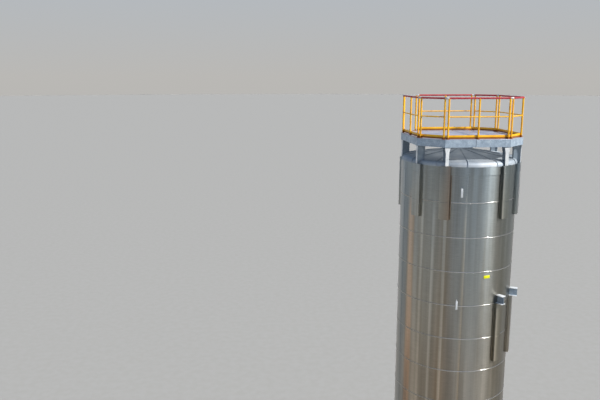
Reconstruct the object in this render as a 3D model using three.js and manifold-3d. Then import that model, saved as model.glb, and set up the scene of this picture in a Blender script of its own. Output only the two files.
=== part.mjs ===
// Vertical storage tank: an insulated, clad steel tank on a round concrete plinth, with a railed
// service platform standing over its roof.
// Millimetres, +Z up. The origin is the centre of the plinth's underside, on level ground.
// Bearings are in degrees about the tank's axis: 0 faces -Y (the front), 90 faces +X.

import * as THREE from 'three';
import { mergeVertices } from 'three/addons/utils/BufferGeometryUtils.js';
import Module from 'manifold-3d';

const wasm = await Module();
wasm.setup();

// Driving dimensions

const GAP = 0.3; // clearance between pieces that meet on a curved or turned face

// Plinth and base ring
const PLINTH_RADIUS = 2170;
const PLINTH_HEIGHT = 1000;
const RING_RADIUS = 2100;
const RING_THICKNESS = 40;

// Insulated wall: vessel, wool and cladding together
const SHELL_RADIUS = 1640;
const WALL_THICKNESS = 100;
const SHELL_HEIGHT = 12960;
const WALL_SEGMENTS = 8;
const FACETS = 96; // flats round the tank

// Roof: a low cone that turns down to a short upright rim over a rounded shoulder
const ROOF_RISE = 430;
const RIM_HEIGHT = 70;
const SHOULDER_RADIUS = 130;
const SHOULDER_STEPS = 6;

// Platform: an octagon of four long and four short sides
const PLATFORM_CORNERS = [-59, -31, 31, 59, 121, 149, 211, 239];
const SIDE_NAMES = [
  'front_left', 'front', 'front_right', 'right', 'back_right', 'back', 'back_left', 'left',
];
const OPEN_SIDE = 'back_left'; // the side a link walkway lands on has posts and a low sill only
const CORNER_RADIUS = 1755;
const FRAME_CLEARANCE = 583; // eave to the underside of the frame
const FRAME_DEPTH = 200;
const CHANNEL_FLANGE = 75;
const CHANNEL_WEB = 10;
const CHANNEL_FLANGE_THICKNESS = 12;
const JOIST_WIDTH = 60;
const JOIST_DEPTH = 140;
const SPLICE_JOIST_OFFSET = 45; // the platform is bolted together from two halves at x = 0
const DECK_THICKNESS = 10;

// Railing
const POST_RADIUS = 24;
const POST_INSET = 38; // post centres, inside the frame's outer face
const POST_FROM_CORNER = 58;
const TOP_RAIL_HEIGHT = 1085;
const TOP_RAIL_RADIUS = 24;
const MID_RAIL_HEIGHT = 597;
const MID_RAIL_RADIUS = 17;
const TOE_BOARD_HEIGHT = 100;
const TOE_BOARD_THICKNESS = 6;
const TOE_BOARD_LIFT = 10;
const SILL_HEIGHT = 12;
const ELBOW_RADIUS = 29;
const ELBOW_HEIGHT = 60;
const TUBE_SIDES = 8;

// Platform legs, two to a long side and square to it, and the clad boxes over their welded feet.
// What stands on the wall is centred on one of its corners.
const LEG_BEARINGS = [-60, -30, 30, 60, 120, 150, 210, 240];
const LEG_OFFSET = 825; // post centres, either side of the middle of a long side
const LEG_FACE = 1488; // tank's axis to the post's outer flange
const LEG_DEPTH = 220;
const LEG_FLANGE = { width: 90, thickness: 14 };
const LEG_WEB = 10;
const LEG_FLARE = { width: 150, drop: 150 }; // the flanges widen under the cap plate
const LEG_CAP = { width: 160, thickness: 15 };
const BOX_DEPTH = 85;
const LEG_BOX_WIDTH = 270;
const LEG_BOX_LENGTH = 1470;
const LEG_BOX_RISE = 80; // its top above the eave

// Beam stubs at mid height, each over a clad box like the legs'
const STUB_BEARINGS = [30, 60];
const STUB_TOP_BELOW_EAVE = 3590;
const STUB_LENGTH = 220;
const STUB_WIDTH = 150;
const STUB_HEIGHT = 240;
const STUB_FLANGE = 16;
const STUB_WEB = 14;
const STUB_BOX_WIDTH = 220;
const STUB_BOX_LENGTH = 1730;

// Pipe cleats up the front
const CLEAT_BEARING = -15;
const CLEAT_DEPTHS = [620, 3770, 6920, 10070]; // cleat centres below the eave
const CLEAT_HEIGHT = 240;
const CLEAT_REACH = 130;
const CLEAT_HEAD = { width: 64, thickness: 12 };
const CLEAT_WEB = 12;
const CLEAT_PAD = { width: 110, thickness: 6 };

// Manhole low on the front
const MANHOLE_HEIGHT = 2100; // centre above the base ring
const MANHOLE_NECK = { outer: 310, inner: 280, reach: 130 };
const MANHOLE_COVER = { radius: 340, thickness: 70, crown: 25 };

// Levels and sizes worked out from the driving dimensions

const RING_TOP = PLINTH_HEIGHT + RING_THICKNESS;
const EAVE = RING_TOP + SHELL_HEIGHT;
const INNER_RADIUS = SHELL_RADIUS - WALL_THICKNESS;
const LEG_BOX_TOP = EAVE + LEG_BOX_RISE;
const FRAME_BOTTOM = EAVE + FRAME_CLEARANCE;
const FRAME_TOP = FRAME_BOTTOM + FRAME_DEPTH;
const DECK_TOP = FRAME_TOP + DECK_THICKNESS;
const FACET_ANGLE = (2 * Math.PI) / FACETS;

// Materials

const concrete = { color: 0xb9b5aa, roughness: 0.9, metalness: 0.0 };
const cladding = { color: 0xa4a8ac, roughness: 0.32, metalness: 0.95 };
const roofing = { color: 0xb6bbc0, roughness: 0.3, metalness: 0.95 };
const galvanised = { color: 0xb4bcc4, roughness: 0.45, metalness: 0.8 };
const ringSteel = { color: 0xc4c6c2, roughness: 0.6, metalness: 0.3 };
const deckPlate = { color: 0xc3c5d2, roughness: 0.5, metalness: 0.6 };
const yellowPaint = { color: 0xf2b418, roughness: 0.45, metalness: 0.0 };
const redPaint = { color: 0xd03038, roughness: 0.45, metalness: 0.0 };
const coverSteel = { color: 0x8d9bab, roughness: 0.35, metalness: 0.9 };

const tank = new THREE.Group();

// Adds one named sub-part, turned about the tank's axis to its bearing.
function addPart(name, geometry, finish, bearing = 0) {
  const mesh = new THREE.Mesh(geometry, new THREE.MeshStandardMaterial(finish));
  mesh.name = name;
  mesh.rotation.z = THREE.MathUtils.degToRad(bearing);
  tank.add(mesh);
}

// Plan point at a radius and a bearing
function polar(radius, bearing) {
  const angle = THREE.MathUtils.degToRad(bearing);
  return new THREE.Vector2(radius * Math.sin(angle), -radius * Math.cos(angle));
}

// A plan outline carried straight up between two levels
function prism(outline, bottom, top, hole = null) {
  const shape = new THREE.Shape(outline);
  if (hole) shape.holes.push(new THREE.Path(hole));
  const geometry = new THREE.ExtrudeGeometry(shape, { depth: top - bottom, bevelEnabled: false });
  return geometry.translate(0, 0, bottom);
}

function box(x0, x1, y0, y1, z0, z1) {
  const geometry = new THREE.BoxGeometry(x1 - x0, y1 - y0, z1 - z0);
  return geometry.translate((x0 + x1) / 2, (y0 + y1) / 2, (z0 + z1) / 2);
}

// A turned form about the tank's axis, from profile points of radius and height
function turned(profile) {
  return new THREE.LatheGeometry(profile, FACETS).rotateX(Math.PI / 2);
}

// The tank's polygon at a radius, with its corners where the wall has them
function circle(radius) {
  const points = [];
  for (let i = 0; i < FACETS; i += 1) points.push(polar(radius, (i * 360) / FACETS));
  return points;
}

// Solids that can be joined and cut, and back again

function toSolid(geometry) {
  const bare = geometry.clone();
  bare.deleteAttribute('normal');
  bare.deleteAttribute('uv');
  const merged = mergeVertices(bare, 1e-3);
  const mesh = new wasm.Mesh({
    numProp: 3,
    vertProperties: Float32Array.from(merged.attributes.position.array),
    triVerts: Uint32Array.from(merged.index.array),
  });
  return new wasm.Manifold(mesh);
}

function toGeometry(solid) {
  const mesh = solid.getMesh();
  const geometry = new THREE.BufferGeometry();
  geometry.setAttribute('position', new THREE.BufferAttribute(mesh.vertProperties, 3));
  geometry.setIndex(new THREE.BufferAttribute(mesh.triVerts, 1));
  const flat = geometry.toNonIndexed();
  flat.computeVertexNormals();
  return flat;
}

function join(geometries) {
  const solids = geometries.map(toSolid);
  return toGeometry(solids.slice(1).reduce((whole, piece) => whole.add(piece), solids[0]));
}

// Plinth: one cast drum, its underside on the ground

addPart('plinth', prism(circle(PLINTH_RADIUS), 0, PLINTH_HEIGHT), concrete);

// Base ring: flat annular plate under the wall, standing out past it for the anchor bolts

addPart(
  'base_ring',
  prism(circle(RING_RADIUS), PLINTH_HEIGHT, RING_TOP, circle(INNER_RADIUS)),
  ringSteel,
);

// Tank bottom: flat plate inside the ring

addPart('tank_bottom', prism(circle(INNER_RADIUS - GAP), PLINTH_HEIGHT, RING_TOP), cladding);

// Wall: upright segments of the insulated shell, each a sector of the round wall

function wallSegment(index) {
  const steps = FACETS / WALL_SEGMENTS;
  const first = (index - 0.5) * steps;
  const trim = THREE.MathUtils.radToDeg(GAP / 2 / SHELL_RADIUS);
  const outer = [];
  const inner = [];
  for (let i = 0; i <= steps; i += 1) {
    let bearing = ((first + i) * 360) / FACETS;
    if (i === 0) bearing += trim;
    if (i === steps) bearing -= trim;
    outer.push(polar(SHELL_RADIUS, bearing));
    inner.unshift(polar(INNER_RADIUS, bearing));
  }
  return prism([...outer, ...inner], RING_TOP, EAVE);
}

for (let i = 0; i < WALL_SEGMENTS; i += 1) {
  addPart(`wall_segment_${i + 1}`, wallSegment(i), cladding);
}

// Roof: rim, shoulder and cone, the same thickness as the wall

function roofLine(inset) {
  const centre = SHELL_RADIUS - SHOULDER_RADIUS;
  const rise = ROOF_RISE - RIM_HEIGHT;
  const slope = Math.atan2(rise, centre) - Math.asin(SHOULDER_RADIUS / Math.hypot(rise, centre));
  const radius = SHOULDER_RADIUS - inset;
  const points = [new THREE.Vector2(SHELL_RADIUS - inset, EAVE)];
  for (let i = 0; i <= SHOULDER_STEPS; i += 1) {
    const turn = (i / SHOULDER_STEPS) * (Math.PI / 2 - slope);
    const height = EAVE + RIM_HEIGHT + radius * Math.sin(turn);
    points.push(new THREE.Vector2(centre + radius * Math.cos(turn), height));
  }
  points.push(new THREE.Vector2(0, EAVE + ROOF_RISE - inset / Math.cos(slope)));
  return points;
}

addPart('roof', turned([...roofLine(WALL_THICKNESS).reverse(), ...roofLine(0)]), roofing);

// Distance from the axis to the back of a piece on the wall, at a sideways offset from the wall's corner
function wallFace(offset) {
  return SHELL_RADIUS + GAP - Math.abs(offset) * Math.tan(FACET_ANGLE / 2);
}

// Plan outline of a piece standing against the wall at bearing 0
function againstWall(width, reach) {
  const half = width / 2;
  return [
    new THREE.Vector2(half, -wallFace(half)),
    new THREE.Vector2(0, -wallFace(0)),
    new THREE.Vector2(-half, -wallFace(half)),
    new THREE.Vector2(-half, -SHELL_RADIUS - reach),
    new THREE.Vector2(half, -SHELL_RADIUS - reach),
  ];
}

// Platform legs: I-section posts on the boxes' tops, notched over the roof's shoulder

// The roof's edge as a solid ring, grown by the clearance
function grownShoulder() {
  const line = roofLine(-GAP);
  const [shoulder, top] = line.slice(-2);
  const inner = shoulder.clone().lerp(top, 0.2);
  const foot = new THREE.Vector2(inner.x, EAVE);
  return toSolid(turned([foot, ...line.slice(0, -1), inner, foot]));
}

const roofShoulder = grownShoulder();

// Flange of a leg, with its outer face at a distance from the tank's axis
function legFlange(middle, face) {
  const top = FRAME_BOTTOM - LEG_CAP.thickness + 5;
  const half = LEG_FLANGE.width / 2;
  const flare = LEG_FLARE.width / 2;
  const outline = new THREE.Shape([
    new THREE.Vector2(-half, LEG_BOX_TOP),
    new THREE.Vector2(half, LEG_BOX_TOP),
    new THREE.Vector2(half, top - LEG_FLARE.drop),
    new THREE.Vector2(flare, top),
    new THREE.Vector2(-flare, top),
    new THREE.Vector2(-half, top - LEG_FLARE.drop),
  ]);
  const plate = new THREE.ExtrudeGeometry(outline, { depth: LEG_FLANGE.thickness, bevelEnabled: false });
  return plate.rotateX(Math.PI / 2).translate(middle, LEG_FLANGE.thickness - face, 0);
}

function leg(middle) {
  const back = LEG_FACE - LEG_DEPTH;
  const capBottom = FRAME_BOTTOM - LEG_CAP.thickness;
  const halfWeb = LEG_WEB / 2;
  const halfCap = LEG_CAP.width / 2;
  const whole = join([
    legFlange(middle, LEG_FACE),
    legFlange(middle, back + LEG_FLANGE.thickness),
    box(middle - halfWeb, middle + halfWeb, -LEG_FACE + 5, -back - 5, LEG_BOX_TOP, capBottom + 5),
    box(middle - halfCap, middle + halfCap, -LEG_FACE, -back, capBottom, FRAME_BOTTOM),
  ]);
  return toGeometry(toSolid(whole).subtract(roofShoulder));
}

LEG_BEARINGS.forEach((bearing, i) => {
  const side = Math.round(bearing / 90) * 90;
  const middle = Math.sign(bearing - side) * LEG_OFFSET;
  const clad = prism(againstWall(LEG_BOX_WIDTH, BOX_DEPTH), LEG_BOX_TOP - LEG_BOX_LENGTH, LEG_BOX_TOP);
  addPart(`platform_leg_${i + 1}`, leg(middle), galvanised, side);
  addPart(`leg_box_${i + 1}`, clad, cladding, bearing);
});

// Platform frame and deck

// The octagon's corners, drawn in from the frame's outer face
function octagon(inset) {
  return PLATFORM_CORNERS.map((bearing, i) => {
    const before = PLATFORM_CORNERS[(i + 7) % 8];
    const after = PLATFORM_CORNERS[(i + 1) % 8];
    const lines = [[before, bearing], [bearing, after]].map(([a, b]) => {
      const span = (b - a + 360) % 360;
      const normal = polar(1, a + span / 2);
      const apothem = CORNER_RADIUS * Math.cos(THREE.MathUtils.degToRad(span / 2));
      return { normal, reach: apothem - inset };
    });
    const [p, q] = lines;
    const cross = p.normal.x * q.normal.y - p.normal.y * q.normal.x;
    return new THREE.Vector2(
      (p.reach * q.normal.y - q.reach * p.normal.y) / cross,
      (q.reach * p.normal.x - p.reach * q.normal.x) / cross,
    );
  });
}

function platformFrame() {
  const web = octagon(CHANNEL_WEB);
  const lip = octagon(CHANNEL_FLANGE);
  const edge = octagon(0);
  const flat = edge[2].y; // the front side's line, and the others by symmetry
  const end = -flat - CHANNEL_WEB / 2;
  const long = edge[2].x;
  const low = FRAME_BOTTOM + CHANNEL_FLANGE_THICKNESS / 2;
  const high = low + JOIST_DEPTH;
  const half = JOIST_WIDTH / 2;
  const pieces = [
    prism(edge, FRAME_BOTTOM, FRAME_TOP, web),
    prism(edge, FRAME_BOTTOM, FRAME_BOTTOM + CHANNEL_FLANGE_THICKNESS, lip),
    prism(edge, FRAME_TOP - CHANNEL_FLANGE_THICKNESS, FRAME_TOP, lip),
  ];
  for (const x of [-long, -SPLICE_JOIST_OFFSET, SPLICE_JOIST_OFFSET, long]) {
    const inner = Math.abs(x) === long ? Math.sign(x) * (long - half) : x;
    pieces.push(box(inner - half, inner + half, -end, end, low, high));
  }
  for (const y of [-long + half, long - half]) {
    pieces.push(box(-end, end, y - half, y + half, low, high));
  }
  return join(pieces);
}

addPart('platform_frame', platformFrame(), galvanised);
addPart('deck', prism(octagon(0), FRAME_TOP, DECK_TOP), deckPlate);

// Railing: one welded panel to each side, and the red top rail over seven of them

function upright(point, bottom, top, radius, sides = TUBE_SIDES) {
  const tube = new THREE.CylinderGeometry(radius, radius, top - bottom, sides).rotateX(Math.PI / 2);
  return tube.translate(point.x, point.y, (bottom + top) / 2);
}

// Level tube between two plan points, with a flat along its underside
function level(from, to, height, radius) {
  const run = to.clone().sub(from);
  const tube = new THREE.CylinderGeometry(radius, radius, run.length(), TUBE_SIDES);
  tube.rotateY(Math.PI / TUBE_SIDES).rotateZ(run.angle() - Math.PI / 2);
  return tube.translate((from.x + to.x) / 2, (from.y + to.y) / 2, height);
}

const POST_TOP = DECK_TOP + TOP_RAIL_HEIGHT - TOP_RAIL_RADIUS * Math.cos(Math.PI / TUBE_SIDES) - GAP;

function railingPanel(side, isOpen, isLong) {
  const [from, to] = [octagon(POST_INSET)[side], octagon(POST_INSET)[(side + 1) % 8]];
  const along = to.clone().sub(from).normalize();
  const first = from.clone().addScaledVector(along, POST_FROM_CORNER);
  const last = to.clone().addScaledVector(along, -POST_FROM_CORNER);
  const posts = isLong ? [first, from.clone().lerp(to, 0.5), last] : [first, last];
  const boardFace = POST_INSET + POST_RADIUS - 2;
  const board = [boardFace, boardFace + TOE_BOARD_THICKNESS].map((inset) => {
    const corners = octagon(inset);
    const start = corners[side].clone().addScaledVector(along, 2);
    const stop = corners[(side + 1) % 8].clone().addScaledVector(along, -2);
    return [start, stop];
  });
  const boardBottom = DECK_TOP + (isOpen ? 0 : TOE_BOARD_LIFT);
  const boardHeight = isOpen ? SILL_HEIGHT : TOE_BOARD_HEIGHT;
  const outline = [board[0][0], board[0][1], board[1][1], board[1][0]];
  const pieces = posts.map((point) => upright(point, DECK_TOP, POST_TOP, POST_RADIUS));
  pieces.push(prism(outline, boardBottom, boardBottom + boardHeight));
  if (!isOpen) pieces.push(level(first, last, DECK_TOP + MID_RAIL_HEIGHT, MID_RAIL_RADIUS));
  return join(pieces);
}

SIDE_NAMES.forEach((side, i) => {
  const isLong = i % 2 === 1;
  addPart(`railing_${side}`, railingPanel(i, side === OPEN_SIDE, isLong), yellowPaint);
});

// The top rail runs round over all but the open side, with an elbow at each corner
function topRail() {
  const height = DECK_TOP + TOP_RAIL_HEIGHT;
  const corners = octagon(POST_INSET);
  const pieces = [];
  const first = SIDE_NAMES.indexOf(OPEN_SIDE) + 1;
  for (let i = first; i < first + 7; i += 1) {
    pieces.push(level(corners[i % 8], corners[(i + 1) % 8], height, TOP_RAIL_RADIUS));
  }
  const lift = TOP_RAIL_RADIUS * Math.cos(Math.PI / TUBE_SIDES);
  for (const corner of corners) {
    pieces.push(upright(corner, height - lift, height - lift + ELBOW_HEIGHT, ELBOW_RADIUS));
  }
  return join(pieces);
}

addPart('top_rail', topRail(), redPaint);

// Beam stubs: short I-section brackets standing out from the wall, each on its clad box

function beamStub() {
  const top = EAVE - STUB_TOP_BELOW_EAVE;
  const bottom = top - STUB_HEIGHT;
  return join([
    prism(againstWall(STUB_WIDTH, STUB_LENGTH), top - STUB_FLANGE, top),
    prism(againstWall(STUB_WIDTH, STUB_LENGTH), bottom, bottom + STUB_FLANGE),
    prism(againstWall(STUB_WEB, STUB_LENGTH), bottom + STUB_FLANGE / 2, top - STUB_FLANGE / 2),
  ]);
}

STUB_BEARINGS.forEach((bearing, i) => {
  const boxTop = EAVE - STUB_TOP_BELOW_EAVE - STUB_HEIGHT;
  addPart(`beam_stub_${i + 1}`, beamStub(), galvanised, bearing);
  addPart(
    `stub_box_${i + 1}`,
    prism(againstWall(STUB_BOX_WIDTH, BOX_DEPTH), boxTop - STUB_BOX_LENGTH, boxTop),
    cladding,
    bearing,
  );
});

// Pipe cleats: T-section brackets on a pad, up the front of the wall

function cleat(depth) {
  const middle = EAVE - depth;
  const [bottom, top] = [middle - CLEAT_HEIGHT / 2, middle + CLEAT_HEIGHT / 2];
  const head = SHELL_RADIUS + CLEAT_REACH;
  const halfHead = CLEAT_HEAD.width / 2;
  return join([
    prism(againstWall(CLEAT_PAD.width, CLEAT_PAD.thickness), bottom - 25, top + 25),
    prism(againstWall(CLEAT_WEB, CLEAT_REACH + CLEAT_HEAD.thickness / 2), bottom, top),
    box(-halfHead, halfHead, -head - CLEAT_HEAD.thickness, -head, bottom, top),
  ]);
}

CLEAT_DEPTHS.forEach((depth, i) => {
  addPart(`pipe_cleat_${i + 1}`, cleat(depth), galvanised, CLEAT_BEARING);
});

// Manhole: a neck through the cladding, closed by a crowned cover

function manholeNeck() {
  const middle = RING_TOP + MANHOLE_HEIGHT;
  const reach = SHELL_RADIUS + MANHOLE_NECK.reach;
  const start = INNER_RADIUS;
  const sides = 32;
  const ring = new THREE.LatheGeometry([
    new THREE.Vector2(MANHOLE_NECK.inner, start),
    new THREE.Vector2(MANHOLE_NECK.outer, start),
    new THREE.Vector2(MANHOLE_NECK.outer, reach),
    new THREE.Vector2(MANHOLE_NECK.inner, reach),
    new THREE.Vector2(MANHOLE_NECK.inner, start),
  ], sides).rotateX(Math.PI).translate(0, 0, middle);
  const wall = prism(circle(SHELL_RADIUS + GAP), middle - 500, middle + 500);
  return toGeometry(toSolid(ring).subtract(toSolid(wall)));
}

function manholeCover() {
  const middle = RING_TOP + MANHOLE_HEIGHT;
  const back = SHELL_RADIUS + MANHOLE_NECK.reach + GAP;
  const face = back + MANHOLE_COVER.thickness;
  const sides = 32;
  const disc = new THREE.LatheGeometry([
    new THREE.Vector2(0, back),
    new THREE.Vector2(MANHOLE_COVER.radius, back),
    new THREE.Vector2(MANHOLE_COVER.radius, face - MANHOLE_COVER.crown),
    new THREE.Vector2(MANHOLE_COVER.radius - MANHOLE_COVER.crown * 2, face),
    new THREE.Vector2(0, face),
  ], sides);
  return disc.rotateX(Math.PI).translate(0, 0, middle);
}

addPart('manhole_neck', manholeNeck(), cladding);
addPart('manhole_cover', manholeCover(), coverSteel);

export default tank;
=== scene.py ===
import math

import bmesh
import bpy
from mathutils import Matrix, Vector


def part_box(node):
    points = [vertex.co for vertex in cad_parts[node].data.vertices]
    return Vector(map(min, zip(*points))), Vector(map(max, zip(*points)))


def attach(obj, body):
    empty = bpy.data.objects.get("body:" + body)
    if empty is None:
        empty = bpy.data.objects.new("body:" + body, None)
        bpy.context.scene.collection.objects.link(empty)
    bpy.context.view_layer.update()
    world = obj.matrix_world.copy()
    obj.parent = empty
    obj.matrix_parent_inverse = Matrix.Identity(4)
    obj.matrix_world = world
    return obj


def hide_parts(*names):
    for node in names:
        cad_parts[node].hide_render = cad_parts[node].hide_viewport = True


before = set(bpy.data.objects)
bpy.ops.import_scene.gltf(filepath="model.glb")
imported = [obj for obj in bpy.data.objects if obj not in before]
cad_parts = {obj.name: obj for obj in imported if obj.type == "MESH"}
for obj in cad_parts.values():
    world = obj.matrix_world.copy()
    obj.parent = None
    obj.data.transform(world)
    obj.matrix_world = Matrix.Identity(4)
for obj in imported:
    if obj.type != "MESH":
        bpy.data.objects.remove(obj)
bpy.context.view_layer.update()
scene = bpy.context.scene
scene.view_settings.view_transform = "Standard"


# Camera: a little above the railing, in front and to the left, looking slightly down. The lens and the
# place are worked out from the tank's own size, so the tank is cut off at the picture's foot.

CAMERA_PLACE = (-6.2674, -18.1065, 16.442)
CAMERA_TURN = (79.101, 0.0, -5.121)
LENS = 38.487
FAR_ENOUGH = 1500.0

camera_data = bpy.data.cameras.new("camera")
camera_data.sensor_width = 36.0
camera_data.lens = LENS
camera_data.clip_end = FAR_ENOUGH
camera = bpy.data.objects.new("camera", camera_data)
camera.location = CAMERA_PLACE
camera.rotation_euler = [math.radians(angle) for angle in CAMERA_TURN]
scene.collection.objects.link(camera)
scene.camera = camera


# Floor and light: a wide pale floor under a plain sky dome, bluish above and warm towards the floor,
# one sun from the front right, and a weak flat lamp between platform and roof, for the light that the
# bright sheets throw back at each other there.

FLOOR_RADIUS = 600.0
SKY_STRENGTH = 0.62
SKY_COLOURS = [(0.0, "b8b0a4"), (0.5, "e6e4e0"), (0.56, "dfe5eb"), (0.75, "a4bddb"), (1.0, "86a6d2")]
SUN_BEARING = 62.0
SUN_HEIGHT = 38.0
SUN_WIDTH = 4.0
SUN_STRENGTH = 5.2
SUN_COLOUR = (1.0, 0.97, 0.92)
UNDER_DECK = 14.58
LAMP_WIDTH = 2.6
LAMP_POWER = 8.0
LAMP_COLOUR = (0.9, 0.95, 1.0)


def colour(code):
    """A colour code of six hex digits, as the shader's own linear numbers."""
    channels = [int(code[i:i + 2], 16) / 255 for i in (0, 2, 4)]
    linear = [c / 12.92 if c <= 0.04045 else ((c + 0.055) / 1.055) ** 2.4 for c in channels]
    return (*linear, 1.0)


def link(tree, value, socket):
    """Feeds a node's socket from another node's output, or sets it to a fixed value."""
    if isinstance(value, bpy.types.NodeSocket):
        tree.links.new(value, socket)
    else:
        socket.default_value = value


def ramp(tree, factor, stops):
    """Colours from one end of a factor to the other, as (place, colour code) stops."""
    node = tree.nodes.new("ShaderNodeValToRGB")
    elements = node.color_ramp.elements
    while len(elements) < len(stops):
        elements.new(0.5)
    for element, (place, code) in zip(elements, stops):
        element.position = place
        element.color = colour(code)
    tree.links.new(factor, node.inputs[0])
    return node.outputs[0]


def mix(tree, factor, first, second, way="MIX"):
    """Two colours blended by a factor, or one laid over the other as the way says."""
    node = tree.nodes.new("ShaderNodeMix")
    node.data_type = "RGBA"
    node.blend_type = way
    link(tree, factor, node.inputs[0])
    link(tree, first, node.inputs[6])
    link(tree, second, node.inputs[7])
    return node.outputs[2]


world = bpy.data.worlds.new("studio")
scene.world = world
world.use_nodes = True
sky = world.node_tree
sky_place = sky.nodes.new("ShaderNodeTexCoord")
sky_axes = sky.nodes.new("ShaderNodeSeparateXYZ")
sky.links.new(sky_place.outputs["Generated"], sky_axes.inputs[0])
sky_height = sky.nodes.new("ShaderNodeMapRange")
sky_height.inputs["From Min"].default_value = -1.0
sky.links.new(sky_axes.outputs["Z"], sky_height.inputs[0])
dome = ramp(sky, sky_height.outputs[0], SKY_COLOURS)
sky.links.new(dome, sky.nodes["Background"].inputs["Color"])
sky.nodes["Background"].inputs["Strength"].default_value = SKY_STRENGTH

sun_data = bpy.data.lights.new("sun", "SUN")
sun_data.energy = SUN_STRENGTH
sun_data.angle = math.radians(SUN_WIDTH)
sun_data.color = SUN_COLOUR
sun = bpy.data.objects.new("sun", sun_data)
sun.rotation_euler = (math.radians(90.0 - SUN_HEIGHT), 0.0, math.radians(SUN_BEARING))
scene.collection.objects.link(sun)
bounce_data = bpy.data.lights.new("bounce", "AREA")
bounce_data.shape = "DISK"
bounce_data.size = LAMP_WIDTH
bounce_data.energy = LAMP_POWER
bounce_data.color = LAMP_COLOUR
bounce = bpy.data.objects.new("bounce", bounce_data)
bounce.location = (0.0, 0.0, UNDER_DECK)
bounce.visible_camera = False
scene.collection.objects.link(bounce)


def new_finish(name, metallic, roughness):
    """A finish with its shader's fixed numbers set, still without its colour."""
    finish = bpy.data.materials.new(name)
    finish.use_nodes = True
    shader = finish.node_tree.nodes["Principled BSDF"]
    shader.inputs["Metallic"].default_value = metallic
    shader.inputs["Roughness"].default_value = roughness
    return finish


def grain(finish, size, stretch=(1.0, 1.0, 1.0), detail=3.0):
    """Cloudy pattern over a piece, with blotches of a size in metres, drawn out along its axes."""
    tree = finish.node_tree
    place = tree.nodes.new("ShaderNodeTexCoord")
    drawn = tree.nodes.new("ShaderNodeMapping")
    drawn.inputs["Scale"].default_value = [1.0 / (size * s) for s in stretch]
    noise = tree.nodes.new("ShaderNodeTexNoise")
    noise.inputs["Scale"].default_value = 1.0
    noise.inputs["Detail"].default_value = detail
    tree.links.new(place.outputs["Object"], drawn.inputs[0])
    tree.links.new(drawn.outputs[0], noise.inputs["Vector"])
    return noise.outputs[0]


def paint_over(finish, value):
    """Gives a finish its colour, from a pattern."""
    link(finish.node_tree, value, finish.node_tree.nodes["Principled BSDF"].inputs["Base Color"])


def clouded(finish, size, stops, detail=3.0):
    """Colours that follow a cloudy pattern, with blotches of a size in metres."""
    return ramp(finish.node_tree, grain(finish, size, detail=detail), stops)


def dull(finish, factor, low, high):
    """Roughness that follows a pattern between two values."""
    tree = finish.node_tree
    node = tree.nodes.new("ShaderNodeMapRange")
    node.inputs["From Min"].default_value = 0.3
    node.inputs["From Max"].default_value = 0.7
    node.inputs["To Min"].default_value = low
    node.inputs["To Max"].default_value = high
    tree.links.new(factor, node.inputs[0])
    tree.links.new(node.outputs[0], tree.nodes["Principled BSDF"].inputs["Roughness"])


def relief(finish, height, depth):
    """Small relief of a depth in metres, on top of any the finish has."""
    tree = finish.node_tree
    shader = tree.nodes["Principled BSDF"]
    node = tree.nodes.new("ShaderNodeBump")
    node.inputs["Distance"].default_value = depth
    tree.links.new(height, node.inputs["Height"])
    if shader.inputs["Normal"].is_linked:
        tree.links.new(shader.inputs["Normal"].links[0].from_socket, node.inputs["Normal"])
    tree.links.new(node.outputs[0], shader.inputs["Normal"])


floor_finish = new_finish("pale_floor", 0.0, 0.85)
paint_over(floor_finish, clouded(floor_finish, 0.4, [(0.35, "a4a19b"), (0.65, "a7a49f")]))
floor_work = bmesh.new()
bmesh.ops.create_circle(floor_work, cap_ends=True, segments=96, radius=FLOOR_RADIUS)
floor_mesh = bpy.data.meshes.new("floor")
floor_work.to_mesh(floor_mesh)
floor_mesh.materials.append(floor_finish)
floor = bpy.data.objects.new("floor", floor_mesh)
scene.collection.objects.link(floor)


# Plinth: a round drum of concrete, cast in place between curved shutters, with a broken top edge.
# The cast face is blotched and slightly rough, and rain has left upright runs down the side.

PLINTH_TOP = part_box("plinth")[1].z
PLINTH_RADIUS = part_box("plinth")[1].x
PLINTH_EDGE = 0.025
ROUND_STEPS = 192
SHARP_FROM = 35.0


def turned(profile, steps=ROUND_STEPS, closed=True):
    """Turns a profile of (radius, height) points about the tank's axis."""
    work = bmesh.new()
    points = [work.verts.new((0.0, -radius, height)) for radius, height in profile]
    edges = [work.edges.new(pair) for pair in zip(points, points[1:])]
    if closed:
        edges.append(work.edges.new((points[-1], points[0])))
    bmesh.ops.spin(
        work, geom=points + edges, cent=(0, 0, 0), axis=(0, 0, 1), dvec=(0, 0, 0),
        angle=math.tau, steps=steps, use_merge=True, use_duplicate=False,
    )
    bmesh.ops.remove_doubles(work, verts=work.verts, dist=1e-5)
    bmesh.ops.recalc_face_normals(work, faces=work.faces)
    return work


def tank_piece(name, work, finish, slot, *replaced):
    """Makes the worked mesh a piece of the tank, in place of the plain solids it is named for."""
    mesh = bpy.data.meshes.new(name)
    work.to_mesh(mesh)
    work.free()
    mesh.materials.append(finish)
    mesh.shade_smooth()
    mesh.set_sharp_from_angle(angle=math.radians(SHARP_FROM))
    piece = bpy.data.objects.new(name, mesh)
    scene.collection.objects.link(piece)
    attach(piece, "root")
    if replaced:
        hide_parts(*replaced)


concrete = new_finish("cast_concrete", 0.0, 0.9)
cast_colour = clouded(concrete, 0.45, [(0.3, "aaa69b"), (0.55, "c3bfb4"), (0.75, "d6d2c8")], 8.0)
run_pattern = grain(concrete, 0.07, (1.0, 1.0, 12.0))
runs = ramp(concrete.node_tree, run_pattern, [(0.35, "8f8b82"), (0.6, "ffffff")])
paint_over(concrete, mix(concrete.node_tree, 0.45, cast_colour, runs, "MULTIPLY"))
relief(concrete, grain(concrete, 0.02, detail=6.0), 0.002)

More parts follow.
